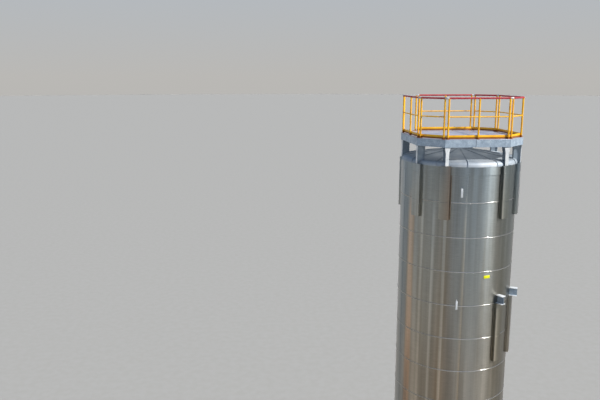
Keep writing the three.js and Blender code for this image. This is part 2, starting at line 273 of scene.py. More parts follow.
plinth_profile = [
    (0.0, 0.0), (PLINTH_RADIUS, 0.0), (PLINTH_RADIUS, PLINTH_TOP - PLINTH_EDGE),
    (PLINTH_RADIUS - PLINTH_EDGE, PLINTH_TOP), (0.0, PLINTH_TOP),
]
tank_piece("cast_plinth", turned(plinth_profile, closed=False), concrete, "concrete", "plinth")


# Base ring: rolled annular plate, primed light grey, on the plinth under the wall.
# Anchor bolts cast into the plinth come up through it, each with a square washer, a nut and a stud end.

RING_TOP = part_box("base_ring")[1].z
RING_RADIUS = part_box("base_ring")[1].x
WALL_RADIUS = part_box("wall_segment_1")[0].y * -1.0
WALL_THICKNESS = 0.1
RING_INNER = WALL_RADIUS - WALL_THICKNESS
RING_EDGE = 0.003
ANCHORS = 44
FIRST_ANCHOR = 2.0
ANCHOR_RADIUS = 2.0
ANCHOR_WASHER = 0.085
WASHER_TOP = 0.012
ANCHOR_NUT = 0.029
NUT_TOP = 0.040
ANCHOR_STUD = 0.015
STUD_TOP = 0.078
PLATE_EDGE = 0.002


def on_tank(bearing, radius=0.0, height=0.0):
    """A place at a bearing round the tank, with its own -Y pointing outwards."""
    return Matrix.Rotation(math.radians(bearing), 4, "Z") @ Matrix.Translation((0.0, -radius, height))


def soften(work, verts, width, segments=2):
    """Rounds every edge between the given corners."""
    edges = dict.fromkeys(edge for vert in verts for edge in vert.link_edges)
    bmesh.ops.bevel(
        work, geom=list(edges), offset=width, offset_type="OFFSET", segments=segments,
        profile=0.5, affect="EDGES", material=-1,
    )


def block(work, low, high, place=Matrix(), edge=0.0):
    """A plate or bar between two corners, set at a place, with its edges rounded."""
    size = Vector(high) - Vector(low)
    middle = (Vector(high) + Vector(low)) / 2
    shape = place @ Matrix.Translation(middle) @ Matrix.Diagonal((*size, 1.0))
    corners = bmesh.ops.create_cube(work, size=1.0, matrix=shape)["verts"]
    if edge:
        soften(work, corners, edge)


def rod(work, place, radius, bottom, top, sides=12, tip=None):
    """A round or many-sided bar along a place's own Z."""
    shape = place @ Matrix.Translation((0.0, 0.0, (bottom + top) / 2))
    bmesh.ops.create_cone(
        work, cap_ends=True, segments=sides, radius1=radius, radius2=radius if tip is None else tip,
        depth=top - bottom, matrix=shape,
    )


ring_primer = new_finish("ring_primer", 0.15, 0.55)
ring_dust = clouded(ring_primer, 0.3, [(0.35, "a9b0b4"), (0.6, "cbc9c0"), (0.8, "dcd5c5")], 6.0)
paint_over(ring_primer, ring_dust)
dull(ring_primer, grain(ring_primer, 0.1), 0.45, 0.7)
relief(ring_primer, grain(ring_primer, 0.01), 0.0005)
ring_profile = [
    (RING_INNER, PLINTH_TOP), (RING_RADIUS, PLINTH_TOP), (RING_RADIUS, RING_TOP - RING_EDGE),
    (RING_RADIUS - RING_EDGE, RING_TOP), (RING_INNER, RING_TOP),
]
tank_piece("ring_plate", turned(ring_profile), ring_primer, "ring_steel", "base_ring")

dark_bolts = new_finish("weathered_bolts", 0.7, 0.5)
paint_over(dark_bolts, clouded(dark_bolts, 0.02, [(0.3, "3a3d42"), (0.7, "6a6a68")]))
relief(dark_bolts, grain(dark_bolts, 0.004), 0.0003)
anchors = bmesh.new()
half = ANCHOR_WASHER / 2
for i in range(ANCHORS):
    place = on_tank(i * 360.0 / ANCHORS + FIRST_ANCHOR, ANCHOR_RADIUS, RING_TOP)
    block(anchors, (-half, -half, 0.0), (half, half, WASHER_TOP), place, PLATE_EDGE)
    rod(anchors, place, ANCHOR_NUT, WASHER_TOP, NUT_TOP, 6)
    rod(anchors, place, ANCHOR_STUD, NUT_TOP, STUD_TOP)
tank_piece("anchor_bolts", anchors, dark_bolts, "ring_steel")


# Tank bottom: the flat plate inside the ring, seen only through the manhole. It stays as drawn,
# in the mill finish of the vessel's inside.

mill_steel = new_finish("mill_stainless", 1.0, 0.35)
paint_over(mill_steel, clouded(mill_steel, 0.2, [(0.3, "8d9092"), (0.7, "a7aaab")]))
dull(mill_steel, grain(mill_steel, 0.05), 0.3, 0.45)
for material_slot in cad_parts["tank_bottom"].material_slots:
    material_slot.material = mill_steel


# Wall cladding: thin brushed stainless sheets a metre wide, wrapped round the wool in level courses.
# Each course laps over the one below, with a rolled bead just above its lower edge, and is
# fixed with small screws. The sheets of a course lap on an upright line.

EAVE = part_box("wall_segment_1")[1].z
COURSE = 0.975
TOP_COURSE = 0.935
COURSES = 13
LAP_STEP = 0.002
BEAD_RISE = 0.024
BEAD_HALF = 0.012
BEAD_PROUD = 0.008
BEAD_SUNK = 0.004
SHEETS_ROUND = 5
FIRST_LAP = -10.0
LAP_WIDTH = 0.045
LAP_PROUD = 0.0025
LAP_SUNK = 0.01
LAP_FOOT = 0.01
LAP_GAP = 0.002
FINE_EDGE = 0.001
SCREW_PITCH = 0.195
SCREW_RADIUS = 0.007
SCREW_SUNK = 0.001
SCREW_SKIRT = 0.002
SCREW_HEAD = 0.0045
SCREW_SIDES = 8
MARKS_TOP = EAVE - 0.6
MARKS_FADE = 0.8
REFLECTION_LOW = 8.0
TALL = (1.0, 1.0, 40.0)
LONG = (1.0, 1.0, 14.0)
LEVEL = (60.0, 60.0, 1.0)
STREAKS = [(0.3, "ccc9c3"), (0.5, "dedfdd"), (0.68, "f0f0ee")]
WIDE_STREAKS = [(0.35, "d6c8bb"), (0.5, "ffffff"), (0.65, "dde3ea")]
SEAM_SCREW_RISE = 0.006
STRIP_COVER = 0.15
seams = [EAVE - TOP_COURSE - i * COURSE for i in range(COURSES)]


def bead(seam):
    """The outline of a rolled bead, just above a sheet's lower edge, with its back sunk in the wall."""
    middle = seam + BEAD_RISE
    sunk = WALL_RADIUS - BEAD_SUNK
    turns = [math.pi * (i / 6 - 0.5) for i in range(7)]
    roll = [(WALL_RADIUS + BEAD_PROUD * math.cos(a), middle + BEAD_HALF * math.sin(a)) for a in turns]
    return [(sunk, middle - BEAD_HALF), *roll, (sunk, middle + BEAD_HALF)]


def screw(work, place):
    """A small domed screw head, standing on a place's own Z."""
    rod(work, place, SCREW_RADIUS, -SCREW_SUNK, SCREW_SKIRT, SCREW_SIDES)
    rod(work, place, SCREW_RADIUS * 0.9, SCREW_SKIRT, SCREW_HEAD, SCREW_SIDES, SCREW_RADIUS * 0.4)


OUTWARDS = Matrix.Rotation(math.radians(90.0), 4, "X")


def round_tank(finish):
    """How far round the tank a place is: 0 and 1 at the back, 0.5 at the front, growing to the right."""
    tree = finish.node_tree
    place = tree.nodes.new("ShaderNodeTexCoord")
    axes = tree.nodes.new("ShaderNodeSeparateXYZ")
    forward = tree.nodes.new("ShaderNodeMath")
    forward.operation = "MULTIPLY"
    forward.inputs[1].default_value = -1.0
    bearing = tree.nodes.new("ShaderNodeMath")
    bearing.operation = "ARCTAN2"
    turn = tree.nodes.new("ShaderNodeMapRange")
    turn.inputs["From Min"].default_value = -math.pi
    turn.inputs["From Max"].default_value = math.pi
    tree.links.new(place.outputs["Object"], axes.inputs[0])
    tree.links.new(axes.outputs["Y"], forward.inputs[0])
    tree.links.new(axes.outputs["X"], bearing.inputs[0])
    tree.links.new(forward.outputs[0], bearing.inputs[1])
    tree.links.new(bearing.outputs[0], turn.inputs[0])
    return turn.outputs[0]


def up_tank(finish, low, high):
    """How far up a place is, from 0 at a low height to 1 at a high one."""
    tree = finish.node_tree
    place = tree.nodes.new("ShaderNodeTexCoord")
    axes = tree.nodes.new("ShaderNodeSeparateXYZ")
    rise = tree.nodes.new("ShaderNodeMapRange")
    rise.inputs["From Min"].default_value = low
    rise.inputs["From Max"].default_value = high
    tree.links.new(place.outputs["Object"], axes.inputs[0])
    tree.links.new(axes.outputs["Z"], rise.inputs[0])
    return rise.outputs[0]


def upright_bands(finish, bands):
    """1 on upright bands given as (bearing, half width) in degrees, 0 between them and at the eave."""
    stops = [(0.0, "000000")]
    for bearing, half in bands:
        middle = bearing / 360 + 0.5
        reach = half / 360
        stops += [(middle - reach, "000000"), (middle - reach / 2, "ffffff")]
        stops += [(middle + reach / 2, "ffffff"), (middle + reach, "000000")]
    marked = ramp(finish.node_tree, round_tank(finish), stops)
    fade = up_tank(finish, MARKS_TOP - MARKS_FADE, MARKS_TOP)
    return mix(finish.node_tree, fade, marked, colour("000000"))


def sheet_finish(name, reflection_tones, reflection_bands=()):
    """Brushed stainless sheet, streaked up and down, with painted reflections: warm low down, cool near
    the eave, and toned round the tank.
    """
    finish = new_finish(name, 1.0, 0.3)
    tree = finish.node_tree
    shader = tree.nodes["Principled BSDF"]
    shader.inputs["Anisotropic"].default_value = 0.85
    shader.inputs["Anisotropic Rotation"].default_value = 0.25
    wrap = tree.nodes.new("ShaderNodeTangent")
    wrap.direction_type = "RADIAL"
    wrap.axis = "Z"
    tree.links.new(wrap.outputs[0], shader.inputs["Tangent"])
    streaks = ramp(tree, grain(finish, 0.16, TALL, 5.0), STREAKS)
    wide_streaks = ramp(tree, grain(finish, 0.7, LONG, 2.0), WIDE_STREAKS)
    brushing = ramp(tree, grain(finish, 0.003, LEVEL, 2.0), [(0.3, "e2e2e2"), (0.7, "ffffff")])
    # Painted reflections: tones that change round the tank, with light and tan upright bands laid over
    # them.
    sides = ramp(tree, round_tank(finish), [(bearing / 360 + 0.5, code) for bearing, code in reflection_tones])
    for code, bands in reflection_bands:
        sides = mix(tree, upright_bands(finish, bands), sides, colour(code))
    # Painted reflection: warmer low down, where the ground shows in the sheet, and cooler towards the
    # eave, where the sky does.
    height_reflection = ramp(tree, up_tank(finish, REFLECTION_LOW, EAVE), [(0.0, "fff0e0"), (0.5, "fcf9f3"), (1.0, "f1f9ff")])
    sheet_colour = mix(tree, 0.5, streaks, wide_streaks, "MULTIPLY")
    for layer in (sides, height_reflection, brushing):
        sheet_colour = mix(tree, 1.0, sheet_colour, layer, "MULTIPLY")
    paint_over(finish, sheet_colour)
    dull(finish, grain(finish, 0.5, (1.0, 1.0, 3.0)), 0.29, 0.35)
    relief(finish, grain(finish, 0.45, (1.0, 1.0, 2.0), 1.0), 0.003)
    relief(finish, grain(finish, 0.003, LEVEL, 1.0), 0.0002)
    return finish


# Painted reflections of the surroundings, as tones round the tank: lighter and warmer on the front left,
# darker on the right, and darker where the highlight falls.
WALL_REFLECTION_TONES = [
    (-180, "c7c8c8"), (-100, "cfd2d5"), (-82, "b3bcc4"), (-60, "d9d7d2"), (-42, "cfcbc3"), (-28, "c6bcb0"),
    (-20, "bfc2c4"), (0, "d4dade"), (16, "b0b4b6"), (32, "a7a9a5"), (180, "c7c8c8"),
]
# Painted reflections: thin light upright lines on the front left.
LIGHT_STREAK_REFLECTIONS = ("f6f3ed", [(-53.0, 1.8), (-40.5, 1.6), (-28.5, 1.6), (-10.0, 1.5)])
# Painted reflection: a tan upright band on the left.
TAN_BAND_REFLECTION = ("ffe4ce", [(-67.5, 6.0)])
cladding = sheet_finish("brushed_cladding", WALL_REFLECTION_TONES, [LIGHT_STREAK_REFLECTIONS, TAN_BAND_REFLECTION])

wall_profile = [(RING_INNER, RING_TOP), (WALL_RADIUS, RING_TOP)]
for seam in reversed(seams):
    wall_profile += [(WALL_RADIUS - LAP_STEP, seam), (WALL_RADIUS, seam)]
wall_profile += [(WALL_RADIUS - LAP_STEP, EAVE), (RING_INNER, EAVE)]
segments = [f"wall_segment_{i + 1}" for i in range(8)]
tank_piece("wall_cladding", turned(wall_profile), cladding, "wall_cladding", *segments)

# Painted reflections on the beads: lighter towards the front, and darker to the sides, where they blend
# with the wall.
BEAD_REFLECTION_TONES = [(0.38, "bebab2"), (0.47, "eeeeee"), (0.53, "dcdcdc"), (0.7, "b4b4b2")]
bead_steel = new_finish("rolled_beads", 1.0, 0.3)
bead_colour = clouded(bead_steel, 0.3, [(0.3, "eae6e0"), (0.7, "faf6f0")])
bead_reflection_tone = ramp(bead_steel.node_tree, round_tank(bead_steel), BEAD_REFLECTION_TONES)
paint_over(bead_steel, mix(bead_steel.node_tree, 1.0, bead_colour, bead_reflection_tone, "MULTIPLY"))
dull(bead_steel, grain(bead_steel, 0.1), 0.13, 0.19)
beads = bmesh.new()
for seam in seams:
    ring = turned(bead(seam))
    ring_mesh = bpy.data.meshes.new("bead")
    ring.to_mesh(ring_mesh)
    ring.free()
    beads.from_mesh(ring_mesh)
    bpy.data.meshes.remove(ring_mesh)
tank_piece("seam_beads", beads, bead_steel, "wall_cladding")

laps = bmesh.new()
screws = bmesh.new()
lap_bearings = [FIRST_LAP + i * 360.0 / SHEETS_ROUND for i in range(SHEETS_ROUND)]
half = LAP_WIDTH / 2
for top, bottom in zip([EAVE - STRIP_COVER, *seams], [*seams, RING_TOP]):
    foot = bottom + BEAD_RISE + BEAD_HALF if bottom in seams else bottom + LAP_FOOT
    for bearing in lap_bearings:
        place = on_tank(bearing, WALL_RADIUS)
        block(laps, (-half, -LAP_PROUD, foot), (half, LAP_SUNK, top - LAP_GAP), place, FINE_EDGE)
        count = max(1, round((top - foot) / SCREW_PITCH))
        for k in range(count):
            height = foot + (top - foot) * (k + 0.5) / count
            screw(screws, on_tank(bearing, WALL_RADIUS + LAP_PROUD, height) @ OUTWARDS)
screws_round = round(math.tau * WALL_RADIUS / SCREW_PITCH)
for seam in seams:
    for i in range(screws_round):
        screw(screws, on_tank(i * 360.0 / screws_round, WALL_RADIUS, seam + SEAM_SCREW_RISE) @ OUTWARDS)
tank_piece("sheet_laps", laps, cladding, "wall_cladding")
screw_steel = new_finish("screw_heads", 1.0, 0.3)
paint_over(screw_steel, clouded(screw_steel, 0.01, [(0.3, "8a8c8e"), (0.7, "c0c2c4")]))
tank_piece("cladding_screws", screws, screw_steel, "wall_cladding")


# Roof: sheet gores over a low cone, joined by standing seams, and turned down on a rounded shoulder
# to a short upright rim. Under the rim an upright strip of the wall's own sheet laps over the top course.

ROOF_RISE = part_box("roof")[1].z - EAVE
RIM_HEIGHT = 0.07
SHOULDER_RADIUS = 0.13
SHOULDER_STEPS = 12
SHEET = 0.002
STRIP_DROP = 0.165
STRIP_PROUD = 0.01
RIM_LAP = 0.012
GORES = 12
SEAM_HEIGHT = 0.018
SEAM_SUNK = 0.004
SEAM_HALF = 0.006
SEAM_INNER = 0.16
RIM_TOP = EAVE + RIM_HEIGHT


def roof_line(inset):
    """The roof's profile from the rim's top to the roof's top, drawn in from its outer face."""
    centre = WALL_RADIUS - SHOULDER_RADIUS
    rise = ROOF_RISE - RIM_HEIGHT
    slope = math.atan2(rise, centre) - math.asin(SHOULDER_RADIUS / math.hypot(rise, centre))
    points = []
    for i in range(SHOULDER_STEPS + 1):
        turn = (i / SHOULDER_STEPS) * (math.pi / 2 - slope)
        reach = SHOULDER_RADIUS - inset
        points.append((centre + reach * math.cos(turn), RIM_TOP + reach * math.sin(turn)))
    points.append((0.0, EAVE + ROOF_RISE - inset / math.cos(slope)))
    return points


def plate(work, outline, thickness, place):
    """A flat plate cut to an outline of (x, y) points and grown along Z, set at a place."""
    start = len(work.verts)
    face = work.faces.new([work.verts.new((x, y, 0.0)) for x, y in outline])
    grown = bmesh.ops.extrude_face_region(work, geom=[face])["geom"]
    lifted = [item for item in grown if isinstance(item, bmesh.types.BMVert)]
    bmesh.ops.translate(work, verts=lifted, vec=(0.0, 0.0, thickness))
    work.verts.ensure_lookup_table()
    bmesh.ops.transform(work, matrix=place, verts=work.verts[start:])


ON_EDGE = Matrix.Rotation(math.radians(-90.0), 4, "Z") @ OUTWARDS

roofing = new_finish("roof_sheets", 0.6, 0.45)
paint_over(roofing, clouded(roofing, 0.35, [(0.3, "9aa4ae"), (0.55, "abb3bb"), (0.75, "bec2c6")], 4.0))
dull(roofing, grain(roofing, 0.2), 0.6, 0.7)
relief(roofing, grain(roofing, 0.3, detail=1.0), 0.004)

strip = WALL_RADIUS + SHEET
strip_foot = strip + STRIP_PROUD
strip_profile = [
    (WALL_RADIUS, RIM_TOP), (WALL_RADIUS, EAVE - STRIP_DROP),
    (strip_foot, EAVE - STRIP_DROP), (strip, RIM_TOP),
]
tank_piece("eave_strip", turned(strip_profile), cladding, "wall_cladding", "roof")
rim = strip + SHEET
roof_profile = [
    (strip, RIM_TOP - RIM_LAP), (rim, RIM_TOP - RIM_LAP), (rim, RIM_TOP), *roof_line(0.0)[1:],
    *reversed(roof_line(WALL_THICKNESS)), (RING_INNER, EAVE), (WALL_RADIUS + SHEET / 2, EAVE),
]
tank_piece("roof_gores", turned(roof_profile), roofing, "roof_cladding", "roof")

seam_work = bmesh.new()
*top_line, peak = roof_line(0.0)
edge_radius, edge_height = top_line[-1]
top_line.append((SEAM_INNER, peak[1] + (edge_height - peak[1]) * SEAM_INNER / edge_radius))
raised_line = [(radius + SEAM_HEIGHT * 0.5, height + SEAM_HEIGHT) for radius, height in top_line]
raised_line[0] = (WALL_RADIUS + SEAM_HEIGHT, RIM_TOP)
sunk_line = [(radius - SEAM_SUNK, height - SEAM_SUNK) for radius, height in reversed(top_line)]
for i in range(GORES):
    spot = on_tank(FIRST_LAP + i * 360.0 / GORES) @ Matrix.Translation((SEAM_HALF, 0.0, 0.0)) @ ON_EDGE
    plate(seam_work, raised_line + sunk_line, 2 * SEAM_HALF, spot)
bmesh.ops.recalc_face_normals(seam_work, faces=seam_work.faces)
tank_piece("roof_seams", seam_work, roofing, "roof_cladding")


# Clad boxes: folded sheet covers over the welded feet of the legs and of the beam stubs. Each is
# closed all round, bent from the wall's own sheet, with a riveted flange down both sides.

LEG_BOX_WIDTH = 0.27
STUB_BOX_WIDTH = 0.22
BOX_DEPTH = 0.085
BOX_SUNK = 0.004
BOX_FOLD = 0.006
FLANGE_WIDTH = 0.03
FLANGE_LAP = 0.002
FLANGE_PROUD = 0.0025
FLANGE_SUNK = 0.008
RIVET_PITCH = 0.21
LEG_BEARINGS = [-60, -30, 30, 60, 120, 150, 210, 240]
STUB_BEARINGS = [30, 60]
SIDEWAYS = Matrix.Rotation(math.pi / 2, 4, "Y")


def clad_box(name, node, bearing, width):
    """A sheet box against the wall at a bearing, with its side flanges and rivets."""
    low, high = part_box(node)
    half = width / 2
    bottom, top = low.z, high.z
    flange_top = min(top, EAVE - STRIP_DROP)
    work = bmesh.new()
    place = on_tank(bearing, WALL_RADIUS)
    block(work, (-half, -BOX_DEPTH, bottom), (half, BOX_SUNK, top), place, BOX_FOLD)
    for side in (-1, 1):
        inner, outer = sorted((side * (half - FLANGE_LAP), side * (half + FLANGE_WIDTH)))
        block(work, (inner, -FLANGE_PROUD, bottom), (outer, FLANGE_SUNK, flange_top), place, FINE_EDGE)
        rivets = round((top - bottom) / RIVET_PITCH)
        for i in range(rivets):
            height = bottom + (flange_top - bottom) * (i + 0.5) / rivets
            spot = place @ Matrix.Translation((side * (half + FLANGE_WIDTH / 2), -FLANGE_PROUD, height))
            screw(work, spot @ OUTWARDS)
    for level in [EAVE - STRIP_DROP, *seams]:
        if bottom + BEAD_HALF < level < top - BEAD_HALF:
            across = place @ Matrix.Translation((0.0, -BOX_DEPTH, level + BEAD_RISE)) @ SIDEWAYS
            rod(work, across, BEAD_HALF * 0.6, BOX_FOLD - half, half - BOX_FOLD, 12)
    tank_piece(name, work, box_sheet, "wall_cladding", node)


# Painted reflections on the box sheet, as tones round the tank: lighter on the left, brown just left of
# the front, darker on the right.
BOX_REFLECTION_TONES = [
    (-180, "c7c8c8"), (-65, "e2e0dc"), (-34, "dcd3c6"), (-26, "bba797"),
    (24, "ced0cd"), (34, "a8aaa3"), (56, "d0d2d1"), (180, "c7c8c8"),
]
box_sheet = sheet_finish("box_sheet", BOX_REFLECTION_TONES)
for i, bearing in enumerate(LEG_BEARINGS):
    clad_box(f"leg_cover_{i + 1}", f"leg_box_{i + 1}", bearing, LEG_BOX_WIDTH)
for i, bearing in enumerate(STUB_BEARINGS):
    clad_box(f"stub_cover_{i + 1}", f"stub_box_{i + 1}", bearing, STUB_BOX_WIDTH)


# Platform legs: galvanised I-section posts, square to the platform's sides, standing on the vessel's
# brackets through the roof's edge. Their flanges flare out to a cap plate bolted up under the frame.
# The front flange carries a lighter zinc colour as painted light, and the web, the back flange and the cap
# a darker one as painted shade.

LEG_OFFSET = 0.825
LEG_FACE = 1.488
LEG_DEPTH = 0.22
LEG_HALF = 0.045
LEG_FLANGE = 0.014
LEG_WEB_HALF = 0.005
LEG_WEB_SUNK = 0.005
LEG_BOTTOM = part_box("leg_box_1")[1].z
FRAME_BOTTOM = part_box("platform_frame")[0].z
FLARE_HALF = 0.075
FLARE_DROP = 0.15
CAP_HALF = 0.08
CAP_THICKNESS = 0.015
CAP_BOLT_ACROSS = 0.05
CAP_BOLT_FRONT = 0.055
CAP_BOLT_BACK = 0.04
LEG_FILLET = 0.012
FILLET_INSET = 0.001
BOLT_RADIUS = 0.011
BOLT_HEAD = 0.009
BOLT_WASHER = 0.003
BOLT_SUNK = 0.001
FLAKES_TO_METRE = 60.0
DOWNWARDS = Matrix.Rotation(math.pi, 4, "X")

galvanised = new_finish("galvanised_steel", 0.35, 0.5)
zinc_cells = galvanised.node_tree.nodes.new("ShaderNodeTexVoronoi")
zinc_place = galvanised.node_tree.nodes.new("ShaderNodeTexCoord")
zinc_cells.inputs["Scale"].default_value = FLAKES_TO_METRE
galvanised.node_tree.links.new(zinc_place.outputs["Object"], zinc_cells.inputs["Vector"])
zinc_bloom = clouded(galvanised, 0.12, [(0.3, "9fb0c2"), (0.55, "b6c7d8"), (0.8, "cfdbe6")], 5.0)
zinc_flakes = ramp(galvanised.node_tree, zinc_cells.outputs["Color"], [(0.0, "d8dadc"), (1.0, "ffffff")])
paint_over(galvanised, mix(galvanised.node_tree, 1.0, zinc_bloom, zinc_flakes, "MULTIPLY"))
dull(galvanised, grain(galvanised, 0.06), 0.32, 0.55)
relief(galvanised, grain(galvanised, 0.01), 0.0004)
# A lighter copy of the zinc, as painted light on faces that catch the sun.
zinc_painted_light = new_finish("zinc_painted_light", 0.2, 0.45)
lit_zinc_bloom = clouded(zinc_painted_light, 0.1, [(0.3, "d9dee2"), (0.55, "eceff1"), (0.8, "f7f8f8")], 5.0)
paint_over(zinc_painted_light, lit_zinc_bloom)
dull(zinc_painted_light, grain(zinc_painted_light, 0.06), 0.35, 0.5)
relief(zinc_painted_light, grain(zinc_painted_light, 0.01), 0.0004)
# A darker copy of the zinc, as painted shade on faces out of the sun.
zinc_painted_shade = new_finish("zinc_painted_shade", 0.45, 0.55)
shade_zinc_bloom = clouded(zinc_painted_shade, 0.15, [(0.3, "7f8c9a"), (0.55, "93a0ac"), (0.8, "a9b4bd")], 5.0)
paint_over(zinc_painted_shade, shade_zinc_bloom)
dull(zinc_painted_shade, grain(zinc_painted_shade, 0.06), 0.45, 0.6)
relief(zinc_painted_shade, grain(zinc_painted_shade, 0.01), 0.0004)


def hex_bolt(work, place, radius=BOLT_RADIUS, head=BOLT_HEAD):
    """A hex head on its washer, standing on a place's own Z."""
    rod(work, place, radius * 1.35, -BOLT_SUNK, BOLT_WASHER, 14)
    rod(work, place, radius, BOLT_WASHER, BOLT_WASHER + head, 6, radius * 0.93)


cap_bottom = FRAME_BOTTOM - CAP_THICKNESS
leg_back = LEG_FACE - LEG_DEPTH
leg_rise = cap_bottom - LEG_BOTTOM
flared = [
    (-LEG_HALF, 0.0), (LEG_HALF, 0.0), (LEG_HALF, leg_rise - FLARE_DROP), (FLARE_HALF, leg_rise),
    (-FLARE_HALF, leg_rise), (-LEG_HALF, leg_rise - FLARE_DROP),
]
for i, bearing in enumerate(LEG_BEARINGS):
    side = round(bearing / 90) * 90
    node = f"platform_leg_{i + 1}"
    place = on_tank(side) @ Matrix.Translation((math.copysign(LEG_OFFSET, bearing - side), 0.0, 0.0))
    front_place = place @ Matrix.Translation((0.0, LEG_FLANGE - LEG_FACE, LEG_BOTTOM)) @ OUTWARDS
    back_place = place @ Matrix.Translation((0.0, -leg_back, LEG_BOTTOM)) @ OUTWARDS
    front_flange = bmesh.new()
    plate(front_flange, flared, LEG_FLANGE, front_place)
    bmesh.ops.recalc_face_normals(front_flange, faces=front_flange.faces)
    tank_piece(f"leg_flange_{i + 1}", front_flange, zinc_painted_light, "galvanised_steel", node)
    work = bmesh.new()
    plate(work, flared, LEG_FLANGE, back_place)
    web_low = (-LEG_WEB_HALF, LEG_WEB_SUNK - LEG_FACE, LEG_BOTTOM)
    web_high = (LEG_WEB_HALF, -leg_back - LEG_WEB_SUNK, cap_bottom)
    block(work, web_low, web_high, place)
    for y in (LEG_FLANGE - LEG_FACE, -leg_back - LEG_FLANGE):
        for x in (-LEG_WEB_HALF, LEG_WEB_HALF):
            fillet_place = place @ Matrix.Translation((x, y, 0.0))
            rod(work, fillet_place, LEG_FILLET, LEG_BOTTOM + FILLET_INSET, cap_bottom, 4)
    cap_low, cap_high = (-CAP_HALF, -LEG_FACE, cap_bottom), (CAP_HALF, -leg_back, FRAME_BOTTOM)
    block(work, cap_low, cap_high, place, PLATE_EDGE)
    for x in (-CAP_BOLT_ACROSS, CAP_BOLT_ACROSS):
        for y in (CAP_BOLT_FRONT - LEG_FACE, -leg_back - CAP_BOLT_BACK):
            hex_bolt(work, place @ Matrix.Translation((x, y, cap_bottom)) @ DOWNWARDS)
    bmesh.ops.recalc_face_normals(work, faces=work.faces)
    tank_piece(f"leg_{i + 1}", work, zinc_painted_shade, "galvanised_steel", node)


# Platform frame: an eight-sided ring of galvanised channel, mitred and welded at the corners, made in
# two halves that are bolted together through end plates, a little left of the middle. Joists carry
# the deck.

CORNER_BEARINGS = [-59, -31, 31, 59, 121, 149, 211, 239]
CORNER_RADIUS = 1.755
FRAME_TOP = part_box("platform_frame")[1].z
WEB = 0.01
FLANGE = 0.075
FLANGE_THICKNESS = 0.012
SPLICE_X = -0.06
SPLICE_GAP = 0.006
SPLICE_PLATE = 0.012
SPLICE_BOLT_INSET = 0.06
JOIST_HALF = 0.03
JOIST_LOW = FRAME_BOTTOM + 0.006
JOIST_TOP = JOIST_LOW + 0.14
SPLICE_JOIST = 0.045
CROSS_JOIST_END = 0.075


def octagon(inset):
    """The platform's plan corners, drawn in from the frame's outer face."""
    corners = []
    for i, bearing in enumerate(CORNER_BEARINGS):
        sides = []
        for start, stop in ((CORNER_BEARINGS[i - 1], bearing), (bearing, CORNER_BEARINGS[(i + 1) % 8])):
            span = (stop - start) % 360
            middle = math.radians(start + span / 2)
            reach = CORNER_RADIUS * math.cos(math.radians(span / 2)) - inset
            sides.append((math.sin(middle), -math.cos(middle), reach))
        (px, py, p), (qx, qy, q) = sides
        cross = px * qy - py * qx
        corners.append(Vector(((p * qy - q * py) / cross, (q * px - p * qx) / cross, 0.0)))
    return corners


def round_platform(section):
    """Carries a closed section of (inset, height) points round the platform's eight sides."""
    work = bmesh.new()
    hoops = []
    for inset, height in section:
        points = [work.verts.new((corner.x, corner.y, height)) for corner in octagon(inset)]
        hoops.append([work.edges.new((points[i - 1], points[i])) for i in range(8)])
    for hoop, following in zip(hoops, hoops[1:] + hoops[:1]):
        bmesh.ops.bridge_loops(work, edges=hoop + following)
    bmesh.ops.recalc_face_normals(work, faces=work.faces)
    return work


def cut_half(work, x, side):
    """Keeps what lies on one side of an upright plane across the platform, and closes the cut."""
    cut = bmesh.ops.bisect_plane(
        work, geom=[*work.verts, *work.edges, *work.faces], plane_co=(x, 0, 0),
        plane_no=(side, 0, 0), clear_inner=True,
    )["geom_cut"]
    rim_edges = [item for item in cut if isinstance(item, bmesh.types.BMEdge)]
    bmesh.ops.holes_fill(work, edges=rim_edges, sides=0)


channel = [
    (0.0, FRAME_BOTTOM), (0.0, FRAME_TOP), (FLANGE, FRAME_TOP), (FLANGE, FRAME_TOP - FLANGE_THICKNESS),
    (WEB, FRAME_TOP - FLANGE_THICKNESS), (WEB, FRAME_BOTTOM + FLANGE_THICKNESS),
    (FLANGE, FRAME_BOTTOM + FLANGE_THICKNESS), (FLANGE, FRAME_BOTTOM),
]
flat = CORNER_RADIUS * math.cos(math.radians(CORNER_BEARINGS[2]))
near = octagon(0.0)[2].x
for name, side in (("right", 1), ("left", -1)):
    work = round_platform(channel)
    cut_half(work, SPLICE_X + side * SPLICE_GAP, side)
    for y in (-flat, flat):
        inside = math.copysign(FLANGE, -y)
        low_y, high_y = sorted((y + math.copysign(WEB, -y), y + inside))
        splice_faces = (SPLICE_GAP, SPLICE_GAP + SPLICE_PLATE)
        low_x, high_x = sorted(SPLICE_X + side * face for face in splice_faces)
        plate_low = (low_x, low_y, FRAME_BOTTOM + FLANGE_THICKNESS)
        plate_high = (high_x, high_y, FRAME_TOP - FLANGE_THICKNESS)
        block(work, plate_low, plate_high)
        for z in (FRAME_BOTTOM + SPLICE_BOLT_INSET, FRAME_TOP - SPLICE_BOLT_INSET):
            spot = Matrix.Translation((high_x if side > 0 else low_x, (low_y + high_y) / 2, z))
            hex_bolt(work, spot @ Matrix.Rotation(side * math.pi / 2, 4, "Y"))
    length = flat - WEB
    for x in (SPLICE_X + side * SPLICE_JOIST, side * (near - JOIST_HALF)):
        joist_low, joist_high = (x - JOIST_HALF, -length, JOIST_LOW), (x + JOIST_HALF, length, JOIST_TOP)
        block(work, joist_low, joist_high, edge=PLATE_EDGE)
    for y in (-near + JOIST_HALF, near - JOIST_HALF):
        low_x, high_x = sorted((SPLICE_X + side * CROSS_JOIST_END, side * length))
        joist_low, joist_high = (low_x, y - JOIST_HALF, JOIST_LOW), (high_x, y + JOIST_HALF, JOIST_TOP)
        block(work, joist_low, joist_high, edge=PLATE_EDGE)
    tank_piece(f"frame_half_{name}", work, galvanised, "galvanised_steel", "platform_frame")


# Deck: galvanised tread plates with a raised pattern of small lozenges, laid edge to edge on the frame
# and joists and clipped down from below, with narrow open joints between them.

